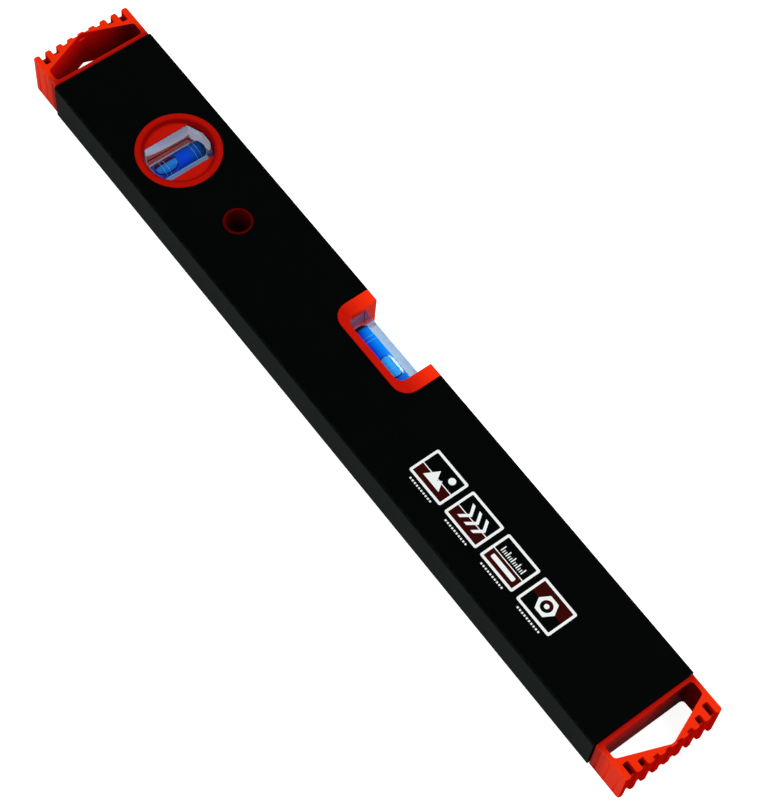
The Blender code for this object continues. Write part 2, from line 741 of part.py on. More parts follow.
def vial(name, block, half_length, plug_end, bubble_rest, place):
    """Bores a block and fills it: plug, liquid, bubble and four reading rings."""
    soften(block, BLOCK_RIM, 1)
    cut(block, bore_cutter(name, half_length, plug_end, place))
    give_finish(block, CLEAR_ACRYLIC)

    plug_radius = bore_radius(half_length, half_length) - PLUG_GAP
    plug_profile = [(0, plug_end), (plug_radius, plug_end), (plug_radius, half_length), (0, half_length)]
    plug = turned(f"{name}_plug", plug_profile, place, VIAL_SEGMENTS, along_x=True)
    give_finish(plug, CLEAR_ACRYLIC)

    start = half_length - LIQUID_GAP
    profile = [(0, start), *barrel_points(half_length, LIQUID_GAP)]
    liquid = turned(f"{name}_liquid", profile, place, VIAL_SEGMENTS, along_x=True)
    cut(liquid, bubble_form(f"{name}_bubble_hollow", bubble_rest, BUBBLE_GAP, place))
    give_finish(liquid, BLUE_LIQUID)

    bubble = bubble_form(f"{name}_bubble", bubble_rest, 0.0, place)
    limit_radius = BORE_RADIUS - BORE_CROWN - LIQUID_GAP - BUBBLE_GAP
    reach = half_length + OVERCUT
    limit_profile = [(0, reach), (limit_radius, reach), (limit_radius, -reach), (0, -reach)]
    keep_within(bubble, turned(f"{name}_bubble_limit", limit_profile, place, VIAL_SEGMENTS, along_x=True))
    give_finish(bubble, CLEAR_BUBBLE)

    inner = GAUGE_LENGTH / 2
    offsets = (-inner - RING_SPACING, -inner, inner, inner + RING_SPACING)
    for number, offset in enumerate(offsets, 1):
        reading_ring(f"{name}_line_{number}", offset, half_length, place)


def reading_ring(name, x, half_length, place):
    """A thin ring against the bore, which the bubble is read against."""
    outer = bore_radius(abs(x) + RING_WIDTH / 2, half_length) - RING_GAP
    inner = outer - RING_THICKNESS
    high = x + RING_WIDTH / 2
    low = x - RING_WIDTH / 2
    profile = [(inner, high), (outer, high), (outer, low), (inner, low)]
    ring = turned(name, profile, place, VIAL_SEGMENTS, closed=True, along_x=True)
    give_finish(ring, WHITE_RING)


def centre_vial(level):
    place = centre_vial_place(level)
    depth = BLOCK_HALF_THICKNESS
    block = plate("centre_vial_block", [centre_block_outline()], -depth, depth, place)
    end = CENTRE_BLOCK_HALF_LENGTH
    vial("centre_vial", block, end - CENTRE_END_WALL, end - PLUG_STEP, CENTRE_BUBBLE_REST, place)


def plumb_vial(level):
    place = plumb_vial_place(level)
    depth = BLOCK_HALF_THICKNESS
    block = plate("plumb_vial_block", [plumb_block_outline()], -depth, depth, place)
    end = PLUMB_BLOCK_LENGTH / 2
    vial("plumb_vial", block, end - PLUMB_END_WALL, end - PLUG_STEP, PLUMB_BUBBLE_REST, place)


def hang_sleeve(level):
    """The lining of the hanging hole, in two halves that meet at the middle plane."""
    x = LEFT_END + HANG_HOLE_FROM_END
    tube = SLEEVE_HOLE_RADIUS - FIT_GAP
    inner = tube - SLEEVE_WALL
    face = HALF_THICKNESS + PROUD
    seat = HALF_THICKNESS + FLANGE_SEAT
    edge = HOLDER_EDGE_RADIUS
    profile = rounded(
        [
            (inner, face, edge),
            (SLEEVE_FLANGE_RADIUS, face, edge),
            (SLEEVE_FLANGE_RADIUS, seat, 0),
            (tube, seat, 0),
            (tube, FIT_GAP / 2, 0),
            (inner, FIT_GAP / 2, 0),
        ],
        steps=1,
    )
    front = turned("hang_sleeve_front", profile, level, SLEEVE_SEGMENTS, closed=True)
    front.location = (x, 0, 0)
    settle(front)
    give_finish(front, RED_PLASTIC)
    rear = turned_over(front, "hang_sleeve_rear")
    rear.location = (x, 0, 0)


def magnets(level):
    """Two bar magnets in the channel behind the measuring edge."""
    low = -TOP_EDGE + EDGE_WALL + FIT_GAP
    high = -CHAMBER_TOP - WEB_THICKNESS - FIT_GAP
    half_depth = HALF_THICKNESS - FACE_WALL - FIT_GAP
    half_length = MAGNET_LENGTH / 2
    for name, side in (("left_magnet", -1), ("right_magnet", 1)):
        x = side * (OVERALL_LENGTH / 2 - MAGNET_FROM_END)
        outline = rectangle(x - half_length, low, x + half_length, high)
        magnet = plate(name, [outline], -half_depth, half_depth, level)
        soften(magnet, MAGNET_RIM, 1)
        give_finish(magnet, MAGNET_NICKEL)


def main():
    level = new_empty("level", (0, 0, HALF_THICKNESS + PROUD))
    box_profile(level)
    end_caps(level)
    centre_frame(level)
    centre_vial(level)
    plumb_holder(level)
    plumb_vial(level)
    hang_sleeve(level)
    magnets(level)


main()
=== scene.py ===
"""The looks of a 400 mm box-section spirit level, lying on its back.

X runs along the level, -Y is its measuring edge and +Z its front face, all in metres.
"""

import math

import bmesh
import bpy
from mathutils import Matrix, Vector


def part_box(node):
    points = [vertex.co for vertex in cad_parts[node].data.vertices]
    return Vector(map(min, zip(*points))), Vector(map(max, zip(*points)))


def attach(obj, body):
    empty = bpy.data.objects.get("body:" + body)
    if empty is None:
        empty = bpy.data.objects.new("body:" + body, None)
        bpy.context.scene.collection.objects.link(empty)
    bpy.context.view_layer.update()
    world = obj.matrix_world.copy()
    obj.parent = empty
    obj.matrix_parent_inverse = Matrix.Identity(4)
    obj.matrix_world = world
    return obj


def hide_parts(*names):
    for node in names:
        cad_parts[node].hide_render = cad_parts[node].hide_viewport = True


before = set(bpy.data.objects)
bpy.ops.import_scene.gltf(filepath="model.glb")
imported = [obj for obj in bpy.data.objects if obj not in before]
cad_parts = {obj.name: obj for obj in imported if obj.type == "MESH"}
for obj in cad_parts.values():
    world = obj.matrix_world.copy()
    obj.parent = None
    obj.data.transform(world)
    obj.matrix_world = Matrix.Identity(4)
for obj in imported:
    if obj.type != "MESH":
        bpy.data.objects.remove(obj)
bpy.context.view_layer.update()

# Directions: along the level, across its face and out of its face
RIGHT = (1, 0, 0)
LEFT = (-1, 0, 0)
UP = (0, 1, 0)
DOWN = (0, -1, 0)
OUT = (0, 0, 1)

# Clean meshes
WELD = 2e-6
INK_WELD = 1e-7
FLAT = math.radians(0.4)
CREASE = math.radians(34)
BUBBLE_CREASE = math.radians(80)

# Which way a face looks, by its normal
UPRIGHT = 0.3  # the most that an upright face looks up or down
END_ON = 0.8  # the least that a face across the level looks along it
ENDWARD = 0.3  # the least that the sawn end of a block looks along its vial
UNDERSIDE = -0.5

# The box profile and the caps on it, counted from the middle of the section
HALF_HEIGHT = 0.025
HALF_DEPTH = 0.011
MID_DEPTH = 0.0115
CAP_HALF_HEIGHT = 0.0241
CAP_HALF_DEPTH = 0.0107

# The windows and teeth of the caps, counted from the middle of the level
WINDOW_SILL = 0.1840
WINDOW_MIDDLE = 0.1880
WINDOW_SHOULDER = 0.1913
WINDOW_APEX = 0.1996
WINDOW_HALF_HEIGHT = 0.0223
TOOTH_WALL = 0.0230

# The bore of a vial: a slim barrel with one domed end
VIAL_SEGMENTS = 96
BARREL_STEPS = 24
BORE_RADIUS = 0.00425
BORE_CROWN = 0.00015  # how much narrower the barrel is at its ends
BORE_DOME = 0.0022
BORE_MARGIN = 0.0001  # faces this close around the bore belong to its wall
CENTRE_HALF_BORE = 0.0157
PLUMB_HALF_BORE = 0.0129
WETTING = 0.000015  # how far the liquid reaches into the wall of its bore

# The bubble in it
BUBBLE_STEPS = 32
BUBBLE_HALF_LENGTH = 0.0057
BUBBLE_HALF_WIDTH = 0.0037
BUBBLE_DEPTH = 0.0030
BUBBLE_SQUARENESS = 2.6
BUBBLE_LIP = 0.00012  # rounding of the bubble's rim
BUBBLE_LIP_POWER = 30  # the higher, the closer the rounding keeps to the rim
# painted shade: from BUBBLE_RIM_START outward, and in the flank bands below, a bubble takes the dark
# outline material
BUBBLE_RIM_START = 0.88
BUBBLE_PRESS = 0.00003  # how far the bubble reaches into the wall of its bore
CENTRE_DARK_FLANK = (0.00160, 0.00195)  # the band across each bubble that shows the dark wall beside it
PLUMB_DARK_FLANK = (-0.0040, -0.0017)

# The reading lines around it
HALF_GAUGE = 0.0067
LINE_SPACING = 0.0020
LINE_WIDTH = 0.00013
LINE_THICKNESS = 0.00005
LINE_GAP = 0.00001

# The seats of the vials
# the holder's axis, and the ring of painted groove shade around it
HOLDER_AXIS = (-0.125, 0, 0)
GROOVE_RADIUS = 0.0155
GROOVE_HALF_WIDTH = 0.0012
FOOT_BOTTOM = 0.0010
FOOT_TOP = 0.0030  # the rear frame's feet end below this height
FOOT_REACH = 0.0030  # how far the feet carry the block past its bore

# Print on the front face
INK_THICKNESS = 0.00003
INK_LIFT = 0.00002
SIGN_LEFT = 0.05025
SIGN_PITCH = 0.02265
SIGN_WIDTH = 0.01990
SIGN_HEIGHT = 0.01495
SIGN_DROP = 0.01160  # from the middle of the face down to a sign's lower edge
SIGN_BORDER = 0.00115
SIGN_OUTER_CORNER = 0.0009
SIGN_INNER_CORNER = 0.0005
CORNER_STEPS = 6
CIRCLE_SIDES = 32
TICKS_INSET = 0.0036
TICKS_DROP = 0.0018
BAND_HEIGHT = 0.0052
BAND_LINE = 0.0004
NUT_RADIUS = 0.0048
NUT_BORE = 0.0027
NUT_DOT = 0.0011

# Where painted light and shade start and stop drifting, along the direction that goes with it
# painted sheen: the measuring edge's black is painted greyer, for its reflection of the floor
MEASURING_EDGE_SHEEN = (0.0248, 0.0249)
# painted light on the caps' front faces, darker by the body and lighter towards the tips
CAP_LIGHT_RAMP = (0.1826, 0.1905)
# painted shade on the walls between and across a cap's teeth, lighter towards the tips
CAP_END_SHADE_RAMP = (0.190, 0.199)
# painted shade in a cap's window: darker with depth, and darker towards the level's upper edge
WINDOW_DEPTH = (0.008, 0.022)
WINDOW_RISE = (0.002, 0.018)
# painted light: the vial frame lightens towards the tips of its prongs
FRAME_RISE = (0.010, 0.023)
# painted shade: the holder's front flange is darker than its recessed disc
HOLDER_FACE = (0.0213, 0.0227)
# painted shade inside the hang hole, a little lighter towards the top
LINING_RISE = (0.0, 0.01)
# painted highlight on the feet, giving way to red towards their ends
FOOT_HIGHLIGHT_EDGE = (0.0170, 0.0176)
# painted reflection: the plumb block turns bluer past here
PLUMB_BLOCK_SIDE = (-0.1180, -0.1172)
# painted reflection: depths where a block's sawn end changes colour
SAWN_END_BACK = (0.007, 0.010)
SAWN_END_FRONT = (0.0155, 0.0185)
# painted light and shade: where the centre spirit turns paler towards its top and dark at its left tip
CENTRE_LIQUID_TOP = (0.0098, 0.0152)
CENTRE_LIQUID_TIP = (0.0124, 0.0137)
# painted shade: where the plumb spirit darkens towards its top, its left side and its top end
PLUMB_LIQUID_UPPER = (0.0030, 0.0075)
PLUMB_LIQUID_SIDE = (0.1274, 0.1291)
PLUMB_LIQUID_TIP = (0.0085, 0.0115)
# painted highlight: the crescent along the centre bubble's upper edge
CENTRE_CRESCENT = (0.0144, 0.0147)
# painted shade: the plumb bubble darkens past here towards its left side
PLUMB_BUBBLE_SIDE = (0.1252, 0.1262)

# Grain, marks and wear; a scale counts waves in a metre
GRAIN_DEPTH = 0.00004
PATCH_SCALE = 60.0
RUB_SCALE = 420.0
SPECK_SCALE = 900.0
MARK_SCALE = 220.0
MARK_DEPTH = 0.0002
MARK_STRENGTH = 0.03

# How strongly each face of a clear piece bends light
ACRYLIC_INDEX = 1.49
SPIRIT_INDEX = 1.33
SPIRIT_IN_ACRYLIC = 0.96
SAWN_INDEX = 1.02
NO_BENDING = 1.0
WHITE = (1, 1, 1)

# The studio
FLOOR_HALF_SIDE = 3.0
FLOOR_GREY = 0.85
FLOOR_SEEN = 0.82
FLOOR_THROUGH = 0.13
WORLD_LIGHT = 0.50
OVERHEAD = (0.70, 0.84)  # the world darkens between these heights, of 1, for what mirrors it
OVERHEAD_SEEN = 0.05
LAMPS = (
    ("key_lamp", (0.30, 0.90, 1.20), 0.9, 11.0),
    ("side_lamp", (0.15, -1.10, 0.90), 0.8, 4.6),
)
CAMERA_LENS = 104.4  # in mm, as the sensor
CAMERA_SENSOR = 36
CAMERA_NEAR = 0.05
CAMERA_PLACE = (0.33640, -0.29543, 0.82730)  # from the middle of the front face
CAMERA_TURN = (27.401, -3.112, 52.812)  # about X, Y and Z, in degrees


# ---------------------------------------------------------------- node helpers


def add(tree, kind, **settings):
    node = tree.nodes.new(kind)
    for key, value in settings.items():
        setattr(node, key, value)
    return node


def feed(tree, socket, value):
    """Links a socket, or writes a plain value into it."""
    if hasattr(value, "is_linked"):
        tree.links.new(value, socket)
    else:
        socket.default_value = value


def preset(node, **values):
    """Writes plain values on a node's own sockets, whose names have spaces for underscores."""
    for name, value in values.items():
        node.inputs[name.replace("_", " ")].default_value = value
    return node


def object_place(tree):
    return add(tree, "ShaderNodeTexCoord").outputs["Object"]


def axes(tree, vector):
    node = add(tree, "ShaderNodeSeparateXYZ")
    feed(tree, node.inputs[0], vector)
    return node.outputs


def along_x(tree, length):
    node = add(tree, "ShaderNodeCombineXYZ")
    feed(tree, node.inputs["X"], length)
    return node.outputs[0]


def noise(tree, vector, scale, detail, roughness):
    node = add(tree, "ShaderNodeTexNoise")
    feed(tree, node.inputs["Vector"], vector)
    feed(tree, node.inputs["Scale"], scale)
    preset(node, Detail=detail, Roughness=roughness)
    return node.outputs["Fac"]


def maths(tree, operation, first, second=0.0, clamp=False):
    node = add(tree, "ShaderNodeMath", operation=operation, use_clamp=clamp)
    feed(tree, node.inputs[0], first)
    feed(tree, node.inputs[1], second)
    return node.outputs[0]


def vector_maths(tree, operation, first, second):
    node = add(tree, "ShaderNodeVectorMath", operation=operation)
    feed(tree, node.inputs[0], first)
    feed(tree, node.inputs[1], second)
    return node.outputs


def remap(tree, value, low, high, to_low=0.0, to_high=1.0):
    node = add(tree, "ShaderNodeMapRange")
    ends = (("From Min", low), ("From Max", high), ("To Min", to_low), ("To Max", to_high))
    for name, given in (("Value", value), *ends):
        feed(tree, node.inputs[name], given)
    return node.outputs["Result"]


def bumped(tree, height, strength, distance):
    node = preset(add(tree, "ShaderNodeBump"), Distance=distance)
    feed(tree, node.inputs["Strength"], strength)
    feed(tree, node.inputs["Height"], height)
    return node.outputs["Normal"]


def blend_colours(tree, factor, first, second, how="MIX"):
    node = add(tree, "ShaderNodeMix", data_type="RGBA", blend_type=how)
    feed(tree, node.inputs["Factor"], factor)
    for name, value in (("A", first), ("B", second)):
        socket = next(s for s in node.inputs if s.name == name and s.type == "RGBA")
        feed(tree, socket, value if hasattr(value, "is_linked") else (*value, 1))
    return next(s for s in node.outputs if s.type == "RGBA")


# ---------------------------------------------------------------- shader groups


def new_group(name, inputs, outputs):
    """A shader node group with (name, default) inputs, numbers or vectors, and (name, kind) outputs."""
    group = bpy.data.node_groups.new(name, "ShaderNodeTree")
    for label, default in inputs:
        kind = "NodeSocketVector" if isinstance(default, tuple) else "NodeSocketFloat"
        socket = group.interface.new_socket(label, in_out="INPUT", socket_type=kind)
        socket.default_value = default
    for label, kind in outputs:
        group.interface.new_socket(label, in_out="OUTPUT", socket_type=kind)
    return group, add(group, "NodeGroupInput").outputs, add(group, "NodeGroupOutput").inputs


def surface_grain():
    """Fine bumps of a coated or moulded surface, with its slow change of gloss and colour."""
    group, given, result = new_group(
        "surface_grain",
        (("Grain Scale", 1500.0), ("Grain Height", 0.1), ("Roughness", 0.4), ("Roughness Spread", 0.05)),
        (("Normal", "NodeSocketVector"), ("Roughness", "NodeSocketFloat"), ("Patches", "NodeSocketFloat")),
    )
    place = object_place(group)
    grain = noise(group, place, given["Grain Scale"], detail=2.0, roughness=0.6)
    patches = noise(group, place, PATCH_SCALE, detail=4.0, roughness=0.6)
    swing = maths(group, "MULTIPLY", maths(group, "SUBTRACT", patches, 0.5), given["Roughness Spread"])
    rough = maths(group, "ADD", given["Roughness"], maths(group, "MULTIPLY", swing, 2.0), clamp=True)
    feed(group, result["Normal"], bumped(group, grain, given["Grain Height"], GRAIN_DEPTH))
    feed(group, result["Roughness"], rough)
    feed(group, result["Patches"], patches)
    return group


def moulding_flow():
    """How far a point lies along a direction, from 0 at Start to 1 at End, on one side or on both; it
    places painted light and shade.
    """
    group, given, result = new_group(
        "moulding_flow",
        (("Along", (1.0, 0.0, 0.0)), ("Start", 0.0), ("End", 0.1), ("Both Sides", 1.0)),
        (("Flow", "NodeSocketFloat"),),
    )
    reach = vector_maths(group, "DOT_PRODUCT", object_place(group), given["Along"])["Value"]
    fold = maths(group, "SUBTRACT", maths(group, "ABSOLUTE", reach), reach)
    extra = maths(group, "MULTIPLY", fold, given["Both Sides"])
    flow = remap(group, maths(group, "ADD", reach, extra), given["Start"], given["End"])
    feed(group, result["Flow"], flow)
    return group


def corner_rub():
    """A broken mask along the long corners of the level, where hands and walls rub the finish."""
    group, given, result = new_group(
        "corner_rub",
        (("Half Height", HALF_HEIGHT), ("Half Depth", HALF_DEPTH), ("Middle", MID_DEPTH),
         ("Width", 0.0008), ("Amount", 0.5)),
        (("Mask", "NodeSocketFloat"),),
    )
    place = object_place(group)
    split = axes(group, place)
    across = maths(group, "SUBTRACT", given["Half Height"], maths(group, "ABSOLUTE", split["Y"]))
    up = maths(group, "ABSOLUTE", maths(group, "SUBTRACT", split["Z"], given["Middle"]))
    inward = maths(group, "ADD", across, maths(group, "SUBTRACT", given["Half Depth"], up))
    near = remap(group, inward, given["Width"], 0.0)
    broken = remap(group, noise(group, place, RUB_SCALE, detail=4.0, roughness=0.7), 0.42, 0.66)
    mask = maths(group, "MULTIPLY", near, broken)
    feed(group, result["Mask"], maths(group, "MULTIPLY", mask, given["Amount"], clamp=True))
    return group


def light_dust():
    """A thin broken veil of pale dust that settles on faces turned up."""
    group, given, result = new_group("light_dust", (("Amount", 0.05),), (("Mask", "NodeSocketFloat"),))
    normal = add(group, "ShaderNodeNewGeometry").outputs["Normal"]
    up = remap(group, axes(group, normal)["Z"], 0.3, 1.0)
    settled = noise(group, object_place(group), SPECK_SCALE, detail=5.0, roughness=0.75)
    specks = remap(group, settled, 0.58, 0.8)
    mask = maths(group, "MULTIPLY", up, specks)
    feed(group, result["Mask"], maths(group, "MULTIPLY", mask, given["Amount"], clamp=True))
    return group


GRAIN = surface_grain()
LIGHT_RAMP = moulding_flow()
RUB = corner_rub()
DUST = light_dust()


# ---------------------------------------------------------------- opaque materials


def new_material(name):
    material = bpy.data.materials.new(name)
    material.use_nodes = True
    tree = material.node_tree
    return material, tree, tree.nodes["Principled BSDF"]


def use_group(tree, group, **values):
    return preset(add(tree, "ShaderNodeGroup", node_tree=group), **values).outputs


def grained(tree, scale, height, roughness, spread):
    return use_group(
        tree, GRAIN, Grain_Scale=scale, Grain_Height=height, Roughness=roughness, Roughness_Spread=spread)


def coat(tree, shader, colour, grain, gloss):
    """Gives the shader a colour with the bumps and the roughness of its grain."""
    feed(tree, shader.inputs["Base Color"], colour)
    feed(tree, shader.inputs["Roughness"], grain["Roughness"])
    feed(tree, shader.inputs["Normal"], grain["Normal"])
    preset(shader, Specular_IOR_Level=gloss)


def drift(tree, colour, far):
    """Lets a colour drift on to further ones of painted light and shade, each with its own direction, start
    and end.
    """
    for along, start, end, shade in far:
        flow = use_group(tree, LIGHT_RAMP, Along=along, Start=start, End=end, Both_Sides=0.0)
        colour = blend_colours(tree, flow["Flow"], colour, shade)
    return colour


def powder_coat():
    """Satin black powder coat: a fine orange-peel, a little dust, greyer worn corners, and a painted sheen
    that greys the measuring edge.
    """
    material, tree, shader = new_material("black_powder_coat")
    grain = grained(tree, scale=1800.0, height=0.22, roughness=0.42, spread=0.06)
    rub = use_group(tree, RUB, Half_Height=HALF_HEIGHT, Half_Depth=HALF_DEPTH, Width=0.0012, Amount=0.55)
    dust = use_group(tree, DUST, Amount=0.012)
    colour = blend_colours(tree, grain["Patches"], (0.0009, 0.0012, 0.0012), (0.0013, 0.0019, 0.0018))
    # painted sheen: the measuring edge is painted a greyer black
    colour = drift(tree, colour, ((DOWN, *MEASURING_EDGE_SHEEN, (0.0050, 0.0085, 0.0075)),))
    colour = blend_colours(tree, rub["Mask"], colour, (0.030, 0.033, 0.032))
    colour = blend_colours(tree, dust["Mask"], colour, (0.20, 0.20, 0.19))
    coat(tree, shader, colour, grain, gloss=0.008)
    return material


def groove_shade(tree, colour, shade):
    """Paints shade into the round groove inside the holder's flange."""
    flat = vector_maths(tree, "MULTIPLY", object_place(tree), (1, 1, 0))["Vector"]
    apart = vector_maths(tree, "DISTANCE", flat, HOLDER_AXIS)["Value"]
    off = maths(tree, "ABSOLUTE", maths(tree, "SUBTRACT", apart, GROOVE_RADIUS))
    return blend_colours(tree, remap(tree, off, GROOVE_HALF_WIDTH, 0.0), colour, shade)


def moulded(name, start, end, along, reach, rub_and_highlight=0.0, gloss=0.02, groove=None, far=()):
    """A finish with a fine grain, whose colour ramps from start to end as painted light and shade, and
    whose corners may be paler where they rub, partly as wear and partly as a painted highlight.

    The painted ramp goes along a direction, both ways from the middle of the level, from reach[0] to
    reach[1].
    """
    material, tree, shader = new_material(name)
    grain = grained(tree, scale=1400.0, height=0.10, roughness=0.30, spread=0.05)
    flow = use_group(tree, LIGHT_RAMP, Along=along, Start=reach[0], End=reach[1])
    colour = drift(tree, blend_colours(tree, flow["Flow"], start, end), far)
    if groove:
        colour = groove_shade(tree, colour, groove)
    uneven = blend_colours(tree, grain["Patches"], (0.92, 0.85, 0.85), (1.06, 1.10, 1.10))
    colour = blend_colours(tree, 1.0, colour, uneven, "MULTIPLY")
    # partly painted highlight: the paler worn corners also stand for light caught on the rounded edges
    if rub_and_highlight:
        rub = use_group(
            tree, RUB, Half_Height=CAP_HALF_HEIGHT, Half_Depth=CAP_HALF_DEPTH, Width=0.0010, Amount=rub_and_highlight)
        colour = blend_colours(tree, rub["Mask"], colour, (1.0, 0.13, 0.06))
    coat(tree, shader, colour, grain, gloss)
    return material


def printed_ink(name, low, high):
    """Screen-printed ink: slightly uneven, satin."""
    material, tree, shader = new_material(name)
    grain = grained(tree, scale=2600.0, height=0.12, roughness=0.5, spread=0.06)
    coat(tree, shader, blend_colours(tree, grain["Patches"], low, high), grain, gloss=0.02)
    return material


def nickel():
    """Plated bar magnet, bright with slight stains."""
    material, tree, shader = new_material("magnet_nickel")
    grain = grained(tree, scale=900.0, height=0.06, roughness=0.22, spread=0.08)
    stained = blend_colours(tree, grain["Patches"], (0.50, 0.48, 0.45), (0.62, 0.60, 0.57))
    coat(tree, shader, stained, grain, gloss=0.5)
    preset(shader, Metallic=1.0)
    return material


POWDER_COAT = powder_coat()
# painted light: each cap is painted darker next to the body and lighter towards its tips; its paler corners
# are partly wear and partly painted highlight
CAP_RED = moulded(
    "cap_red", (0.37, 0.003, 0.001), (0.90, 0.028, 0.003), RIGHT, CAP_LIGHT_RAMP, rub_and_highlight=0.35, gloss=0.012)
# painted shade: the walls between and across the teeth are painted dark, lightening towards the tips
CAP_END_RED = moulded(
    "cap_end_red", (0.36, 0.002, 0.001), (0.55, 0.004, 0.001), RIGHT, CAP_END_SHADE_RAMP, gloss=0.0)
# painted shade: a cap's window walls are painted darker with depth and darker towards the level's upper
# edge
WINDOW_RED = moulded(
    "cap_window_red", (0.28, 0.0022, 0.0020), (0.76, 0.0054, 0.0030), OUT, WINDOW_DEPTH, gloss=0.001,
    far=((UP, *WINDOW_RISE, (0.13, 0.0010, 0.0010)),))
# painted light: the vial frame is painted darker low down and lighter towards the tips of its prongs
FRAME_RED = moulded("vial_frame_red", (0.56, 0.008, 0.002), (1.0, 0.031, 0.004), UP, FRAME_RISE)
# painted shade: the holder's front flange is painted darker than its recessed disc, with a painted dark
# ring in its groove
HOLDER_RED = moulded(
    "holder_red", (0.51, 0.0070, 0.002), (0.43, 0.0048, 0.001), OUT, HOLDER_FACE,
    groove=(0.24, 0.0010, 0.0004))
# painted shade: the hang-hole lining is painted near black-red for the shade inside the hole
LINING_RED = moulded(
    "lining_red", (0.085, 0.001, 0.001), (0.095, 0.001, 0.001), UP, LINING_RISE, gloss=0.005)
# painted highlight: the feet are painted pale lilac, turning red towards their ends
PAINTED_FOOT_HIGHLIGHT = moulded(
    "seat_cement", (0.80, 0.68, 0.84), (0.85, 0.16, 0.22), RIGHT, FOOT_HIGHLIGHT_EDGE, gloss=0.01)
PALE_LINE = printed_ink("pale_reading_line", (0.14, 0.40, 0.72), (0.20, 0.46, 0.78))
WHITE_INK = printed_ink("white_ink", (0.80, 0.84, 0.83), (0.92, 0.95, 0.94))
MAROON_INK = printed_ink("maroon_ink", (0.030, 0.0010, 0.0004), (0.044, 0.0018, 0.0006))
NICKEL = nickel()


# ---------------------------------------------------------------- clear materials


def see_through(tree, shader, tint):
    """Lets light for shadows pass straight through a clear piece."""
    path = add(tree, "ShaderNodeLightPath")
    clear = preset(add(tree, "ShaderNodeBsdfTransparent"), Color=(*tint, 1))
    mix = add(tree, "ShaderNodeMixShader")
    feed(tree, mix.inputs["Fac"], path.outputs["Is Shadow Ray"])
    feed(tree, mix.inputs[1], shader.outputs["BSDF"])
    feed(tree, mix.inputs[2], clear.outputs["BSDF"])
    feed(tree, tree.nodes["Material Output"].inputs["Surface"], mix.outputs["Shader"])


def flow_marks(tree):
    return noise(tree, object_place(tree), MARK_SCALE, detail=2.0, roughness=0.5)


def clear_material(name, low, high, index, shadow_tint, clearness=1.0, roughness=0.0, far=(), gloss=0.5):
    """A clear medium; index is that of the inner side of its faces over that of the outer side.

    Its tint wavers between low and high, and drifts on to the colours of far, which are painted light and
    shade.
    """
    material, tree, shader = new_material(name)
    preset(shader, Roughness=roughness, IOR=index, Transmission_Weight=clearness, Specular_IOR_Level=gloss)
    if low == high:
        preset(shader, Base_Color=(*low, 1))
    else:
        tint = blend_colours(tree, flow_marks(tree), low, high)
        feed(tree, shader.inputs["Base Color"], drift(tree, tint, far))
    see_through(tree, shader, shadow_tint)
    return material


def clear_acrylic(name, low, high, shadow_tint, far=()):
    """Polished clear acrylic with faint flow marks from moulding."""
    material = clear_material(name, low, high, ACRYLIC_INDEX, shadow_tint, far=far)
    tree = material.node_tree
    shader = tree.nodes["Principled BSDF"]
    marks = flow_marks(tree)
    feed(tree, shader.inputs["Roughness"], remap(tree, marks, 0.3, 0.7, 0.0, 0.02))
    feed(tree, shader.inputs["Normal"], bumped(tree, marks, MARK_STRENGTH, MARK_DEPTH))
    return material


def sawn_acrylic(name, low, high, far=()):
    """An end of a block as the saw left it; its colour is a painted reflection of its seat and of what
    shows through it.
    """
    return clear_material(name, low, high, SAWN_INDEX, (0.8, 0.8, 0.85), 0.15, 0.5, far)


def blue_liquid(name, low, high, far, clearness):
    """Dyed spirit that glows in its own blue as well as letting light through; the colours of far are
    painted light and shade.
    """
    return clear_material(name, low, high, SPIRIT_IN_ACRYLIC, (0.05, 0.45, 0.95), clearness, far=far)


def air_against_wall(name, low, high, far, clearness, gloss):
    """The side of a bubble that lies on the wall of its bore, tinted by the liquid around it."""
    return clear_material(
        name, low, high, 1 / ACRYLIC_INDEX, (0.3, 0.8, 1), clearness, far=far, gloss=gloss)


CENTRE_ACRYLIC = clear_acrylic(
    "centre_clear_acrylic", (0.72, 0.92, 1.0), (0.77, 0.97, 1.0), (0.68, 0.72, 0.82))
# painted reflection: the plumb block is tinted bluer at its right side
PLUMB_ACRYLIC = clear_acrylic(
    "plumb_clear_acrylic", (0.82, 0.85, 0.97), (0.88, 0.91, 1.0), (0.50, 0.54, 0.64),
    far=((RIGHT, *PLUMB_BLOCK_SIDE, (0.20, 0.62, 1.0)),))
# painted reflection: the centre block's ends are painted in the reds and grey-purple of the frame seen in
# them
CENTRE_SAWN_END = sawn_acrylic(
    "centre_sawn_acrylic", (0.85, 0.10, 0.16), (0.95, 0.14, 0.20),
    far=((OUT, *SAWN_END_BACK, (0.50, 0.19, 0.31)),
         (OUT, *SAWN_END_FRONT, (0.95, 0.022, 0.075))))
PLUMB_SAWN_END = sawn_acrylic("plumb_sawn_acrylic", (0.40, 0.47, 0.66), (0.46, 0.53, 0.72))
BORE_WALL = clear_material("wetted_bore", WHITE, WHITE, NO_BENDING, WHITE)
CEMENTED_PLUG = clear_material(
    "cemented_plug", (0.92, 0.93, 0.97), (0.97, 0.98, 1), NO_BENDING, (0.95, 0.96, 1))
# painted light and shade: the centre spirit is painted paler towards its top and near black at its left tip
CENTRE_LIQUID = blue_liquid(
    "centre_blue_liquid", (0, 0.03, 0.74), (0.001, 0.04, 0.82), clearness=0.3,
    far=((UP, *CENTRE_LIQUID_TOP, (0.001, 0.29, 0.95)),
         (LEFT, *CENTRE_LIQUID_TIP, (0.001, 0.006, 0.025))))
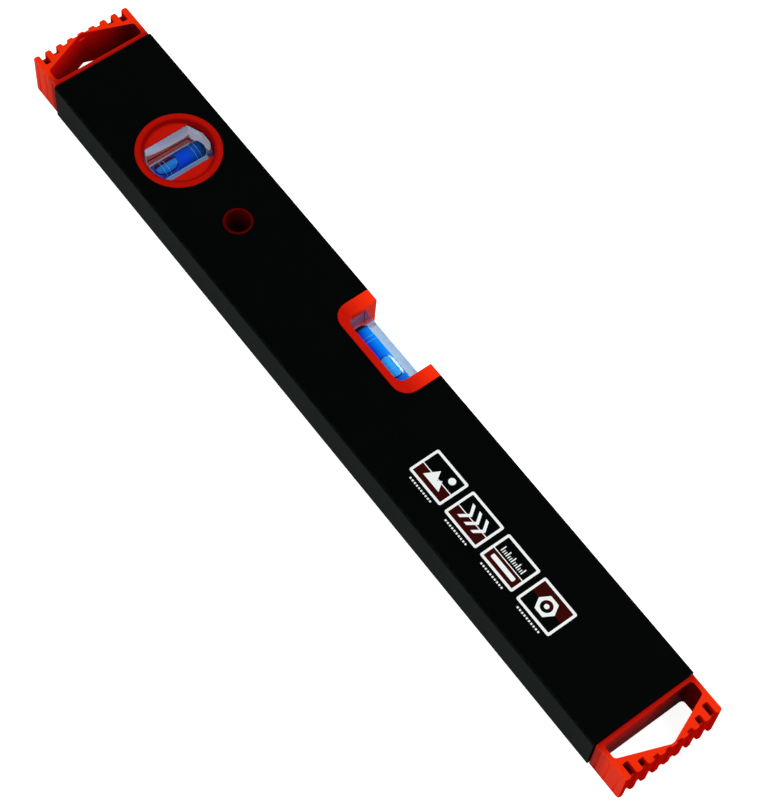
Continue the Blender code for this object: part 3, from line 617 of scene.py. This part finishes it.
# painted shade: the plumb spirit is painted duller towards its top, and dark along its left side and at its
# top end
PLUMB_LIQUID = blue_liquid(
    "plumb_blue_liquid", (0, 0.080, 0.80), (0.001, 0.100, 0.90), clearness=0.45,
    far=((UP, *PLUMB_LIQUID_UPPER, (0, 0.12, 0.56)),
         (LEFT, *PLUMB_LIQUID_SIDE, (0, 0.03, 0.14)),
         (UP, *PLUMB_LIQUID_TIP, (0, 0.035, 0.15))))
# painted highlight: a paler crescent along the upper edge of the centre bubble
CENTRE_AIR_ON_WALL = air_against_wall(
    "centre_air_against_wall", (0.01, 0.38, 0.95), (0.02, 0.44, 1), clearness=0.15, gloss=0.2,
    far=((UP, *CENTRE_CRESCENT, (0.12, 0.56, 1.0)),))
# painted shade: the plumb bubble is painted near black along its left side
PLUMB_AIR_ON_WALL = air_against_wall(
    "plumb_air_against_wall", (0.001, 0.20, 0.58), (0.002, 0.24, 0.66), clearness=0.25, gloss=0.05,
    far=((LEFT, *PLUMB_BUBBLE_SIDE, (0.006, 0.003, 0.010)),))
AIR_IN_LIQUID = clear_material("air_in_liquid", (0.93, 0.98, 1), WHITE, 1 / SPIRIT_INDEX, (0.95, 0.98, 1))
# painted shade: the dark outline around each bubble and along its flank band
BUBBLE_RIM = clear_material(
    "bubble_rim", (0.0006, 0.006, 0.035), (0.0009, 0.009, 0.050), 1 / SPIRIT_INDEX, (0.05, 0.2, 0.5), 0.15)


# ---------------------------------------------------------------- mesh helpers


def finish_mesh(mesh, *materials, crease=CREASE):
    for material in materials:
        mesh.materials.append(material)
    mesh.shade_smooth()
    mesh.set_sharp_from_angle(angle=crease)


def to_mesh(form, name):
    mesh = bpy.data.meshes.new(name)
    form.to_mesh(mesh)
    form.free()
    return mesh


def new_piece(name, mesh, body, stands_for=()):
    piece = bpy.data.objects.new(name, mesh)
    bpy.context.scene.collection.objects.link(piece)
    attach(piece, body)
    if stands_for:
        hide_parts(*stands_for)
    return piece


def merged(node):
    """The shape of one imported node: welded, with its flat faces whole."""
    form = bmesh.new()
    form.from_mesh(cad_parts[node].data)
    bmesh.ops.remove_doubles(form, verts=form.verts, dist=WELD)
    bmesh.ops.dissolve_limit(form, angle_limit=FLAT, verts=form.verts, edges=form.edges)
    for face in form.faces:
        face.material_index = 0
    return form


def dressed(node, name, material):
    """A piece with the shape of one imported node, its flat faces flat and its rounds smooth."""
    mesh = to_mesh(merged(node), name)
    for layer in [a.name for a in mesh.attributes if a.name == "custom_normal"]:
        mesh.attributes.remove(mesh.attributes[layer])
    finish_mesh(mesh, material)
    piece = new_piece(name, mesh, "level", [node])
    even = piece.modifiers.new("even shading", "WEIGHTED_NORMAL")
    even.keep_sharp = True
    return piece


def new_tree(name, sizes):
    """A Geometry Nodes tree with named sizes, and what goes in and out of it."""
    tree = bpy.data.node_groups.new(name, "GeometryNodeTree")
    for label, default in sizes:
        kind = "NodeSocketInt" if isinstance(default, int) else "NodeSocketFloat"
        socket = tree.interface.new_socket(label, in_out="INPUT", socket_type=kind)
        socket.default_value = default
    tree.interface.new_socket("Mesh", in_out="OUTPUT", socket_type="NodeSocketGeometry")
    return tree, add(tree, "NodeGroupInput").outputs, add(tree, "NodeGroupOutput").inputs


def close_tree(tree, result, instances, material):
    """Ends a tree: its instances become real and take their material."""
    real = add(tree, "GeometryNodeRealizeInstances")
    paint = preset(add(tree, "GeometryNodeSetMaterial"), Material=material)
    feed(tree, real.inputs[0], instances)
    feed(tree, paint.inputs["Geometry"], real.outputs[0])
    feed(tree, result["Mesh"], paint.outputs["Geometry"])


def plain_mesh(carrier):
    """The mesh that a curve or a modifier gives; the object that carried it is removed."""
    bpy.context.scene.collection.objects.link(carrier)
    graph = bpy.context.evaluated_depsgraph_get()
    mesh = bpy.data.meshes.new_from_object(carrier.evaluated_get(graph))
    bpy.data.objects.remove(carrier)
    return mesh


def laid_out(name, tree, place, **sizes):
    """The plain mesh that a tree gives with these sizes, set in its place."""
    carrier = bpy.data.objects.new(name, bpy.data.meshes.new(name))
    modifier = carrier.modifiers.new("layout", "NODES")
    modifier.node_group = tree
    for item in tree.interface.items_tree:
        key = item.name.replace(" ", "_")
        if item.in_out == "INPUT" and key in sizes:
            modifier[item.identifier] = sizes[key]
    mesh = plain_mesh(carrier)
    form = bmesh.new()
    form.from_mesh(mesh)
    form.transform(place)
    bmesh.ops.recalc_face_normals(form, faces=form.faces)
    form.to_mesh(mesh)
    form.free()
    finish_mesh(mesh)
    return mesh


# ---------------------------------------------------------------- body and mouldings


def profile_and_mouldings():
    dressed("box_profile", "profile_shell", POWDER_COAT)
    reds = (
        ("right_end_cap", "right_cap_moulding", CAP_RED),
        ("left_end_cap", "left_cap_moulding", CAP_RED),
        ("centre_frame_front", "front_vial_frame", FRAME_RED),
        ("centre_frame_rear", "rear_vial_frame", FRAME_RED),
        ("plumb_holder_front", "front_round_holder", HOLDER_RED),
        ("plumb_holder_rear", "rear_round_holder", HOLDER_RED),
        ("hang_sleeve_front", "front_hang_lining", LINING_RED),
        ("hang_sleeve_rear", "rear_hang_lining", LINING_RED),
    )
    for node, name, material in reds:
        piece = dressed(node, name, material)
        if material == CAP_RED:
            finish_cap(piece.data)
        elif node == "centre_frame_rear":
            finish_feet(piece.data)
    for side in ("left", "right"):
        dressed(f"{side}_magnet", f"{side}_bar_magnet", NICKEL)


def finish_cap(mesh):
    """Gives the walls inside a cap's window, and those between and across its teeth, darker materials of
    painted shade.
    """
    mesh.materials.append(WINDOW_RED)
    mesh.materials.append(CAP_END_RED)
    middle = Vector((math.copysign(WINDOW_MIDDLE, mesh.vertices[0].co.x), 0, 0))
    for face in mesh.polygons:
        out = abs(face.center.x)
        off_axis = abs(face.center.y)
        upright = abs(face.normal.z) < UPRIGHT
        across = abs(face.normal.x) > END_ON
        slant = WINDOW_SHOULDER + (WINDOW_APEX - WINDOW_SHOULDER) * (1 - off_axis / WINDOW_HALF_HEIGHT)
        within = off_axis < WINDOW_HALF_HEIGHT and WINDOW_SILL < out < slant
        if within and upright and face.normal.dot(middle - face.center) > 0:
            face.material_index = 1
        elif upright and out > WINDOW_SHOULDER and (off_axis < TOOTH_WALL or across):
            face.material_index = 2


def finish_feet(mesh):
    """Paints a pale highlight on the two feet that carry the centre block, turning red towards their ends.
    """
    mesh.materials.append(PAINTED_FOOT_HIGHLIGHT)
    for face in mesh.polygons:
        low = all(mesh.vertices[corner].co.z < FOOT_TOP for corner in face.vertices)
        on_foot = face.center.z > FOOT_BOTTOM and abs(face.center.x) < CENTRE_HALF_BORE + FOOT_REACH
        if low and on_foot and face.normal.z > UNDERSIDE:
            face.material_index = 1


# ---------------------------------------------------------------- vials


def barrel_profile(half, grow):
    """(radius, place) points of a vial's barrel, from the plugged end to the tip of its dome."""
    start = half + grow
    bend = BORE_DOME - half
    points = [(0.0, start)]
    for step in range(BARREL_STEPS + 1):
        place = start + (bend - start) * step / BARREL_STEPS
        points.append((BORE_RADIUS - BORE_CROWN * (place / half) ** 2 + grow, place))
    widest = points[-1][0]
    dome_steps = BARREL_STEPS // 2
    for step in range(1, dome_steps + 1):
        angle = math.pi / 2 * step / dome_steps
        points.append((widest * math.cos(angle), bend - (BORE_DOME + grow) * math.sin(angle)))
    points[-1] = (0.0, points[-1][1])
    return points


def skinned(rings):
    """A closed form from rings of points; a ring of one point is a pole."""
    form = bmesh.new()
    rows = [[form.verts.new(point) for point in ring] for ring in rings]
    for first, second in zip(rows, rows[1:]):
        count = max(len(first), len(second))
        for step in range(count):
            after = (step + 1) % count
            if len(first) == 1:
                form.faces.new((first[0], second[step], second[after]))
            elif len(second) == 1:
                form.faces.new((first[step], second[0], first[after]))
            else:
                form.faces.new((first[step], second[step], second[after], first[after]))
    bmesh.ops.recalc_face_normals(form, faces=form.faces)
    return form


def turned(profile, place):
    """A closed turned form from (radius, place) points, laid along the matrix's own X."""
    rings = []
    for radius, along in profile:
        count = VIAL_SEGMENTS if radius > 0 else 1
        angles = [2 * math.pi * step / count for step in range(count)]
        rings.append([(along, radius * math.cos(angle), radius * math.sin(angle)) for angle in angles])
    form = skinned(rings)
    form.transform(place)
    return form


def oblong(part):
    """A circle's cosine or sine, pushed out toward the corners."""
    return math.copysign(abs(part) ** (2 / BUBBLE_SQUARENESS), part)


def bubble_ring(middle, out, side, count):
    """Points around a bubble's upper (1) or lower (-1) side, at a share of the way out to its rim."""
    ring = []
    for turn in range(count):
        angle = 2 * math.pi * turn / VIAL_SEGMENTS
        x = BUBBLE_HALF_LENGTH * out * oblong(math.cos(angle))
        y = BUBBLE_HALF_WIDTH * out * oblong(math.sin(angle))
        z = math.sqrt((BORE_RADIUS + BUBBLE_PRESS)**2 - y**2) - BUBBLE_LIP
        if side == 1:
            z += BUBBLE_LIP * math.sqrt(1 - out**BUBBLE_LIP_POWER)
        else:
            z -= BUBBLE_DEPTH * math.sqrt(1 - out**2)
        ring.append((middle + x, y, z))
    return ring


def pressed_bubble(place, middle, flank):
    """A long bubble pressed against the front of its bore.

    Its upper side follows the wall, its lower side bulges, and its rim and a flank band take the dark
    bubble_rim material, a painted dark outline.
    """
    sides = [(1, step) for step in range(BUBBLE_STEPS + 1)]
    sides += [(-1, step) for step in range(BUBBLE_STEPS - 1, -1, -1)]
    rings = []
    for side, step in sides:
        out = math.sin(math.pi / 2 * step / BUBBLE_STEPS)
        rings.append(bubble_ring(middle, out, side, VIAL_SEGMENTS if step else 1))
    form = skinned(rings)
    for face in form.faces:
        centre = face.calc_center_median()
        along = (centre.x - middle) / BUBBLE_HALF_LENGTH
        across = centre.y / BUBBLE_HALF_WIDTH
        reach = abs(along) ** BUBBLE_SQUARENESS + abs(across) ** BUBBLE_SQUARENESS
        if reach > BUBBLE_RIM_START**BUBBLE_SQUARENESS or flank[0] < centre.y < flank[1]:
            face.material_index = 2
        else:
            face.material_index = 0 if face.normal.dot((0, centre.y, centre.z)) > 0 else 1
    form.transform(place)
    return form


def reading_lines():
    """Four thin rings about X, two at each end of the gauge length."""
    tree, given, result = new_tree(
        "reading_lines",
        (
            ("Half Gauge", HALF_GAUGE),
            ("Line Spacing", LINE_SPACING),
            ("Ring Radius", BORE_RADIUS),
            ("Line Width", LINE_WIDTH),
            ("Line Thickness", LINE_THICKNESS),
        ),
    )
    around = preset(add(tree, "GeometryNodeCurvePrimitiveCircle"), Resolution=VIAL_SEGMENTS)
    feed(tree, around.inputs["Radius"], given["Ring Radius"])
    section = add(tree, "GeometryNodeCurvePrimitiveQuadrilateral")
    feed(tree, section.inputs["Width"], given["Line Thickness"])
    feed(tree, section.inputs["Height"], given["Line Width"])
    ring = add(tree, "GeometryNodeCurveToMesh")
    feed(tree, ring.inputs["Curve"], around.outputs["Curve"])
    feed(tree, ring.inputs["Profile Curve"], section.outputs["Curve"])
    pair = preset(add(tree, "GeometryNodeMeshLine"), Count=2)
    feed(tree, pair.inputs["Start Location"], along_x(tree, given["Half Gauge"]))
    feed(tree, pair.inputs["Offset"], along_x(tree, given["Line Spacing"]))
    other = preset(add(tree, "GeometryNodeTransform"), Rotation=(0, 0, math.pi))
    feed(tree, other.inputs["Geometry"], pair.outputs["Mesh"])
    places = add(tree, "GeometryNodeJoinGeometry")
    feed(tree, places.inputs[0], pair.outputs["Mesh"])
    feed(tree, places.inputs[0], other.outputs["Geometry"])
    spread = preset(add(tree, "GeometryNodeInstanceOnPoints"), Rotation=(0, math.pi / 2, 0))
    feed(tree, spread.inputs["Points"], places.outputs[0])
    feed(tree, spread.inputs["Instance"], ring.outputs["Mesh"])
    close_tree(tree, result, spread.outputs["Instances"], PALE_LINE)
    return tree


LINES = reading_lines()


def clear_block(name, place, acrylic, sawn, sawn_ends):
    """The block, whose bore is wetted all over and so bends no light; some of its ends are left as sawn."""
    form = merged(f"{name}_block")
    into = place.inverted()
    for face in form.faces:
        corners = [into @ vert.co for vert in face.verts]
        lengthwise = (into.to_3x3() @ face.normal).x
        if all(math.hypot(corner.y, corner.z) < BORE_RADIUS + BORE_MARGIN for corner in corners):
            face.material_index = 1
        elif any(end * lengthwise > ENDWARD for end in sawn_ends):
            face.material_index = 2
    mesh = to_mesh(form, f"{name}_clear_block")
    finish_mesh(mesh, acrylic, BORE_WALL, sawn)
    new_piece(f"{name}_clear_block", mesh, "level", [f"{name}_block"])


def vial(name, turn, half, acrylic, sawn, sawn_ends, spirit, air, flank):
    """The clear block, its plug, liquid, bubble and reading lines, in place of the plain solids."""
    low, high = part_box(f"{name}_block")
    place = Matrix.Translation((low + high) / 2) @ Matrix.Rotation(turn, 4, "Z")
    clear_block(name, place, acrylic, sawn, sawn_ends)
    dressed(f"{name}_plug", f"{name}_end_plug", CEMENTED_PLUG)

    liquid = to_mesh(turned(barrel_profile(half, WETTING), place), f"{name}_filling")
    finish_mesh(liquid, spirit)
    new_piece(f"{name}_filling", liquid, "level", [f"{name}_liquid"])

    low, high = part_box(f"{name}_bubble")
    middle = (place.inverted() @ ((low + high) / 2)).x
    bubble = to_mesh(pressed_bubble(place, middle, flank), f"{name}_air")
    finish_mesh(bubble, air, AIR_IN_LIQUID, BUBBLE_RIM, crease=BUBBLE_CREASE)
    body = name.replace("_vial", "_bubble")
    new_piece(f"{name}_air", bubble, body, [f"{name}_bubble"])

    radius = BORE_RADIUS + LINE_GAP + LINE_THICKNESS / 2
    rings = laid_out(f"{name}_rings", LINES, place, Ring_Radius=radius)
    lines = [f"{name}_line_{number}" for number in range(1, 5)]
    new_piece(f"{name}_rings", rings, "level", lines)


# ---------------------------------------------------------------- printed signs


def tick_row():
    """A row of flat upright ticks along X, with their middles on the row's line."""
    tree, given, result = new_tree(
        "tick_row",
        (
            ("Count", 8),
            ("Pitch", 0.001),
            ("Tick Width", 0.0004),
            ("Tick Height", 0.001),
            ("Ink Thickness", INK_THICKNESS),
        ),
    )
    size = add(tree, "ShaderNodeCombineXYZ")
    for axis, length in (("X", "Tick Width"), ("Y", "Tick Height"), ("Z", "Ink Thickness")):
        feed(tree, size.inputs[axis], given[length])
    tick = add(tree, "GeometryNodeMeshCube")
    feed(tree, tick.inputs["Size"], size.outputs[0])
    row = add(tree, "GeometryNodeMeshLine")
    feed(tree, row.inputs["Count"], given["Count"])
    feed(tree, row.inputs["Offset"], along_x(tree, given["Pitch"]))
    spread = add(tree, "GeometryNodeInstanceOnPoints")
    feed(tree, spread.inputs["Points"], row.outputs["Mesh"])
    feed(tree, spread.inputs["Instance"], tick.outputs["Mesh"])
    close_tree(tree, result, spread.outputs["Instances"], WHITE_INK)
    return tree


TICKS = tick_row()


def ink_place(level, x=0.0, y=0.0):
    """Where a print lies on the front face: its layers are a hair apart."""
    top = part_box("box_profile")[1].z
    return Matrix.Translation((x, y, top + (INK_LIFT + INK_THICKNESS) * (level + 1) - INK_THICKNESS / 2))


def ink(name, outlines, material, level=0):
    """A flat printed shape from closed outlines, inner ones being holes; a higher level lies on top."""
    curve = bpy.data.curves.new(name, "CURVE")
    curve.dimensions = "2D"
    curve.fill_mode = "BOTH"
    curve.extrude = INK_THICKNESS / 2
    for outline in outlines:
        spline = curve.splines.new("POLY")
        spline.points.add(len(outline) - 1)
        spline.use_cyclic_u = True
        for point, (x, y) in zip(spline.points, outline):
            point.co = (x, y, 0, 1)
    mesh = plain_mesh(bpy.data.objects.new(name, curve))
    form = bmesh.new()
    form.from_mesh(mesh)
    bmesh.ops.remove_doubles(form, verts=form.verts, dist=INK_WELD)
    bmesh.ops.recalc_face_normals(form, faces=form.faces)
    form.transform(ink_place(level))
    form.to_mesh(mesh)
    form.free()
    finish_mesh(mesh, material)
    new_piece(name, mesh, "level")


def ticks(name, level, x, y, **sizes):
    new_piece(name, laid_out(name, TICKS, ink_place(level, x, y), **sizes), "level")


def round_rectangle(left, bottom, right, top, radius):
    corners = (
        (right - radius, top - radius, 0),
        (left + radius, top - radius, 90),
        (left + radius, bottom + radius, 180),
        (right - radius, bottom + radius, 270),
    )
    points = []
    for x, y, first in corners:
        for step in range(CORNER_STEPS + 1):
            angle = math.radians(first + 90 * step / CORNER_STEPS)
            points.append((x + radius * math.cos(angle), y + radius * math.sin(angle)))
    return points


def rectangle(left, bottom, right, top):
    return [(left, bottom), (right, bottom), (right, top), (left, top)]


def polygon(x, y, radius, sides=CIRCLE_SIDES):
    angles = [2 * math.pi * side / sides for side in range(sides)]
    return [(x + radius * math.cos(angle), y + radius * math.sin(angle)) for angle in angles]


def signs():
    """Four plain framed signs with simple shapes in white and maroon, each over a row of ticks."""
    for number, motif in enumerate((peaks_sign, arrows_sign, scale_sign, nut_sign)):
        left = SIGN_LEFT + number * SIGN_PITCH
        bottom = -SIGN_DROP
        right = left + SIGN_WIDTH
        top = bottom + SIGN_HEIGHT
        field = (left + SIGN_BORDER, bottom + SIGN_BORDER, right - SIGN_BORDER, top - SIGN_BORDER)
        outer = round_rectangle(left, bottom, right, top, SIGN_OUTER_CORNER)
        inner = round_rectangle(*field, SIGN_INNER_CORNER)
        ink(f"sign_{number + 1}_border", [outer, inner], WHITE_INK)
        motif(field)
        ticks(f"sign_{number + 1}_ticks", 0, left + TICKS_INSET, bottom - TICKS_DROP,
              Count=10, Pitch=0.0014, Tick_Width=0.0008, Tick_Height=0.0008)


def maroon_band(name, field):
    """A band along the foot of a sign under a white line; gives the height where they meet."""
    left, bottom, right, _ = field
    top = bottom + BAND_HEIGHT
    ink(f"{name}_band", [rectangle(left, bottom, right, top)], MAROON_INK)
    ink(f"{name}_line", [rectangle(left, top, right, top + BAND_LINE)], WHITE_INK)
    return top


def peaks_sign(field):
    """Two peaks and a disc over the band."""
    left, _, right, _ = field
    middle = (left + right) / 2
    band = maroon_band("peaks", field)
    foot = band - 0.0030
    peaks = [
        (middle - 0.0050, foot), (middle + 0.0050, foot), (middle + 0.0022, band + 0.0012),
        (middle + 0.0008, band - 0.0004), (middle - 0.0016, band + 0.0034),
    ]
    ink("peaks", [peaks], WHITE_INK, 1)
    ink("peaks_disc", [polygon(middle + 0.0046, band + 0.0042, 0.0016)], WHITE_INK, 1)


def arrows_sign(field):
    """Three arrowheads in a row over the band."""
    left, bottom, _, top = field
    maroon_band("arrows", field)
    inset, pitch = 0.0030, 0.0042
    half, stroke, depth = 0.0040, 0.0016, 0.0028
    height = (bottom + top) / 2
    low, high = height - half, height + half
    for number in range(3):
        x = left + inset + number * pitch
        arrow = [
            (x, low), (x + stroke, low), (x + stroke + depth, height),
            (x + stroke, high), (x, high), (x + depth, height),
        ]
        ink(f"arrow_{number + 1}", [arrow], WHITE_INK, 1)


def scale_sign(field):
    """A short rule with long and short ticks over the band."""
    left, _, right, _ = field
    band = maroon_band("scale", field)
    inset, corner = 0.0020, 0.0005
    bar = round_rectangle(left + inset, band - 0.0034, right - inset, band - 0.0014, corner)
    ink("scale_bar", [bar], WHITE_INK, 1)
    first, pitch = left + 0.0026, 0.00103
    ticks("scale_short_ticks", 1, first, band + 0.0022,
          Count=13, Pitch=pitch, Tick_Width=0.0004, Tick_Height=0.0016)
    ticks("scale_long_ticks", 2, first, band + 0.0028,
          Count=5, Pitch=3 * pitch, Tick_Width=0.0005, Tick_Height=0.0028)


def nut_sign(field):
    """A hexagon nut on a field of maroon and black."""
    left, bottom, right, top = field
    middle = (left + right) / 2
    height = (bottom + top) / 2
    ink("nut_field", [rectangle(left, height, right, top)], MAROON_INK)
    ink("nut", [polygon(middle, height, NUT_RADIUS, 6), polygon(middle, height, NUT_BORE)], WHITE_INK, 1)
    ink("nut_dot", [polygon(middle, height, NUT_DOT)], WHITE_INK, 1)


# ---------------------------------------------------------------- studio


def pale_floor():
    """A plain floor that looks almost white to the camera, and dimmer in mirrors and clear pieces."""
    mesh = bpy.data.meshes.new("studio_floor")
    form = bmesh.new()
    bmesh.ops.create_grid(form, x_segments=1, y_segments=1, size=FLOOR_HALF_SIDE)
    form.to_mesh(mesh)
    form.free()
    floor = bpy.data.objects.new("studio_floor", mesh)
    bpy.context.scene.collection.objects.link(floor)
    material, tree, shader = new_material("pale_floor")
    preset(shader, Base_Color=(FLOOR_GREY, FLOOR_GREY, FLOOR_GREY, 1), Roughness=0.9,
           Specular_IOR_Level=0.0, Emission_Color=(*WHITE, 1))
    path = add(tree, "ShaderNodeLightPath").outputs
    through = maths(tree, "MAXIMUM", path["Is Glossy Ray"], path["Is Transmission Ray"])
    glow = maths(tree, "MAXIMUM", maths(tree, "MULTIPLY", path["Is Camera Ray"], FLOOR_SEEN),
                 maths(tree, "MULTIPLY", through, FLOOR_THROUGH))
    feed(tree, shader.inputs["Emission Strength"], glow)
    mesh.materials.append(material)


def pale_world():
    """White all round for the camera and the clear pieces, dark overhead for surfaces that mirror it."""
    world = bpy.data.worlds.new("studio")
    bpy.context.scene.world = world
    world.use_nodes = True
    tree = world.node_tree
    path = add(tree, "ShaderNodeLightPath").outputs
    height = axes(tree, add(tree, "ShaderNodeTexCoord").outputs["Generated"])["Z"]
    overhead = remap(tree, height, *OVERHEAD, 1.0, OVERHEAD_SEEN)
    seen = maths(tree, "MAXIMUM", path["Is Camera Ray"], path["Is Transmission Ray"])
    mirrored = maths(tree, "MULTIPLY", path["Is Glossy Ray"], overhead)
    other = maths(tree, "SUBTRACT", 1.0, maths(tree, "MAXIMUM", seen, path["Is Glossy Ray"]))
    lit = maths(tree, "MULTIPLY", other, WORLD_LIGHT)
    background = preset(tree.nodes["Background"], Color=(*WHITE, 1))
    feed(tree, background.inputs["Strength"], maths(tree, "ADD", maths(tree, "ADD", seen, mirrored), lit))


def lamp(name, place, size, power):
    """A square lamp turned to the middle of the level."""
    data = bpy.data.lights.new(name, "AREA")
    data.shape = "SQUARE"
    data.size = size
    data.energy = power
    obj = bpy.data.objects.new(name, data)
    obj.location = place
    obj.rotation_euler = (-Vector(place)).to_track_quat("-Z", "Y").to_euler()
    obj.visible_transmission = False  # keeps bright spots of lamplight out of the clear blocks
    bpy.context.scene.collection.objects.link(obj)


def studio():
    bpy.context.scene.view_settings.view_transform = "Standard"
    pale_floor()
    pale_world()
    for name, place, size, power in LAMPS:
        lamp(name, place, size, power)


def camera():
    data = bpy.data.cameras.new("camera")
    data.lens = CAMERA_LENS
    data.sensor_width = CAMERA_SENSOR
    data.clip_start = CAMERA_NEAR
    obj = bpy.data.objects.new("camera", data)
    x, y, z = CAMERA_PLACE
    obj.location = (x, y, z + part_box("box_profile")[1].z)
    obj.rotation_euler = [math.radians(angle) for angle in CAMERA_TURN]
    bpy.context.scene.collection.objects.link(obj)
    bpy.context.scene.camera = obj


camera()
studio()
profile_and_mouldings()
vial(
    "centre_vial", 0.0, CENTRE_HALF_BORE, CENTRE_ACRYLIC, CENTRE_SAWN_END, (-1, 1),
    CENTRE_LIQUID, CENTRE_AIR_ON_WALL, CENTRE_DARK_FLANK)
vial(
    "plumb_vial", -math.pi / 2, PLUMB_HALF_BORE, PLUMB_ACRYLIC, PLUMB_SAWN_END, (1,),
    PLUMB_LIQUID, PLUMB_AIR_ON_WALL, PLUMB_DARK_FLANK)
signs()

bpy.context.view_layer.update()
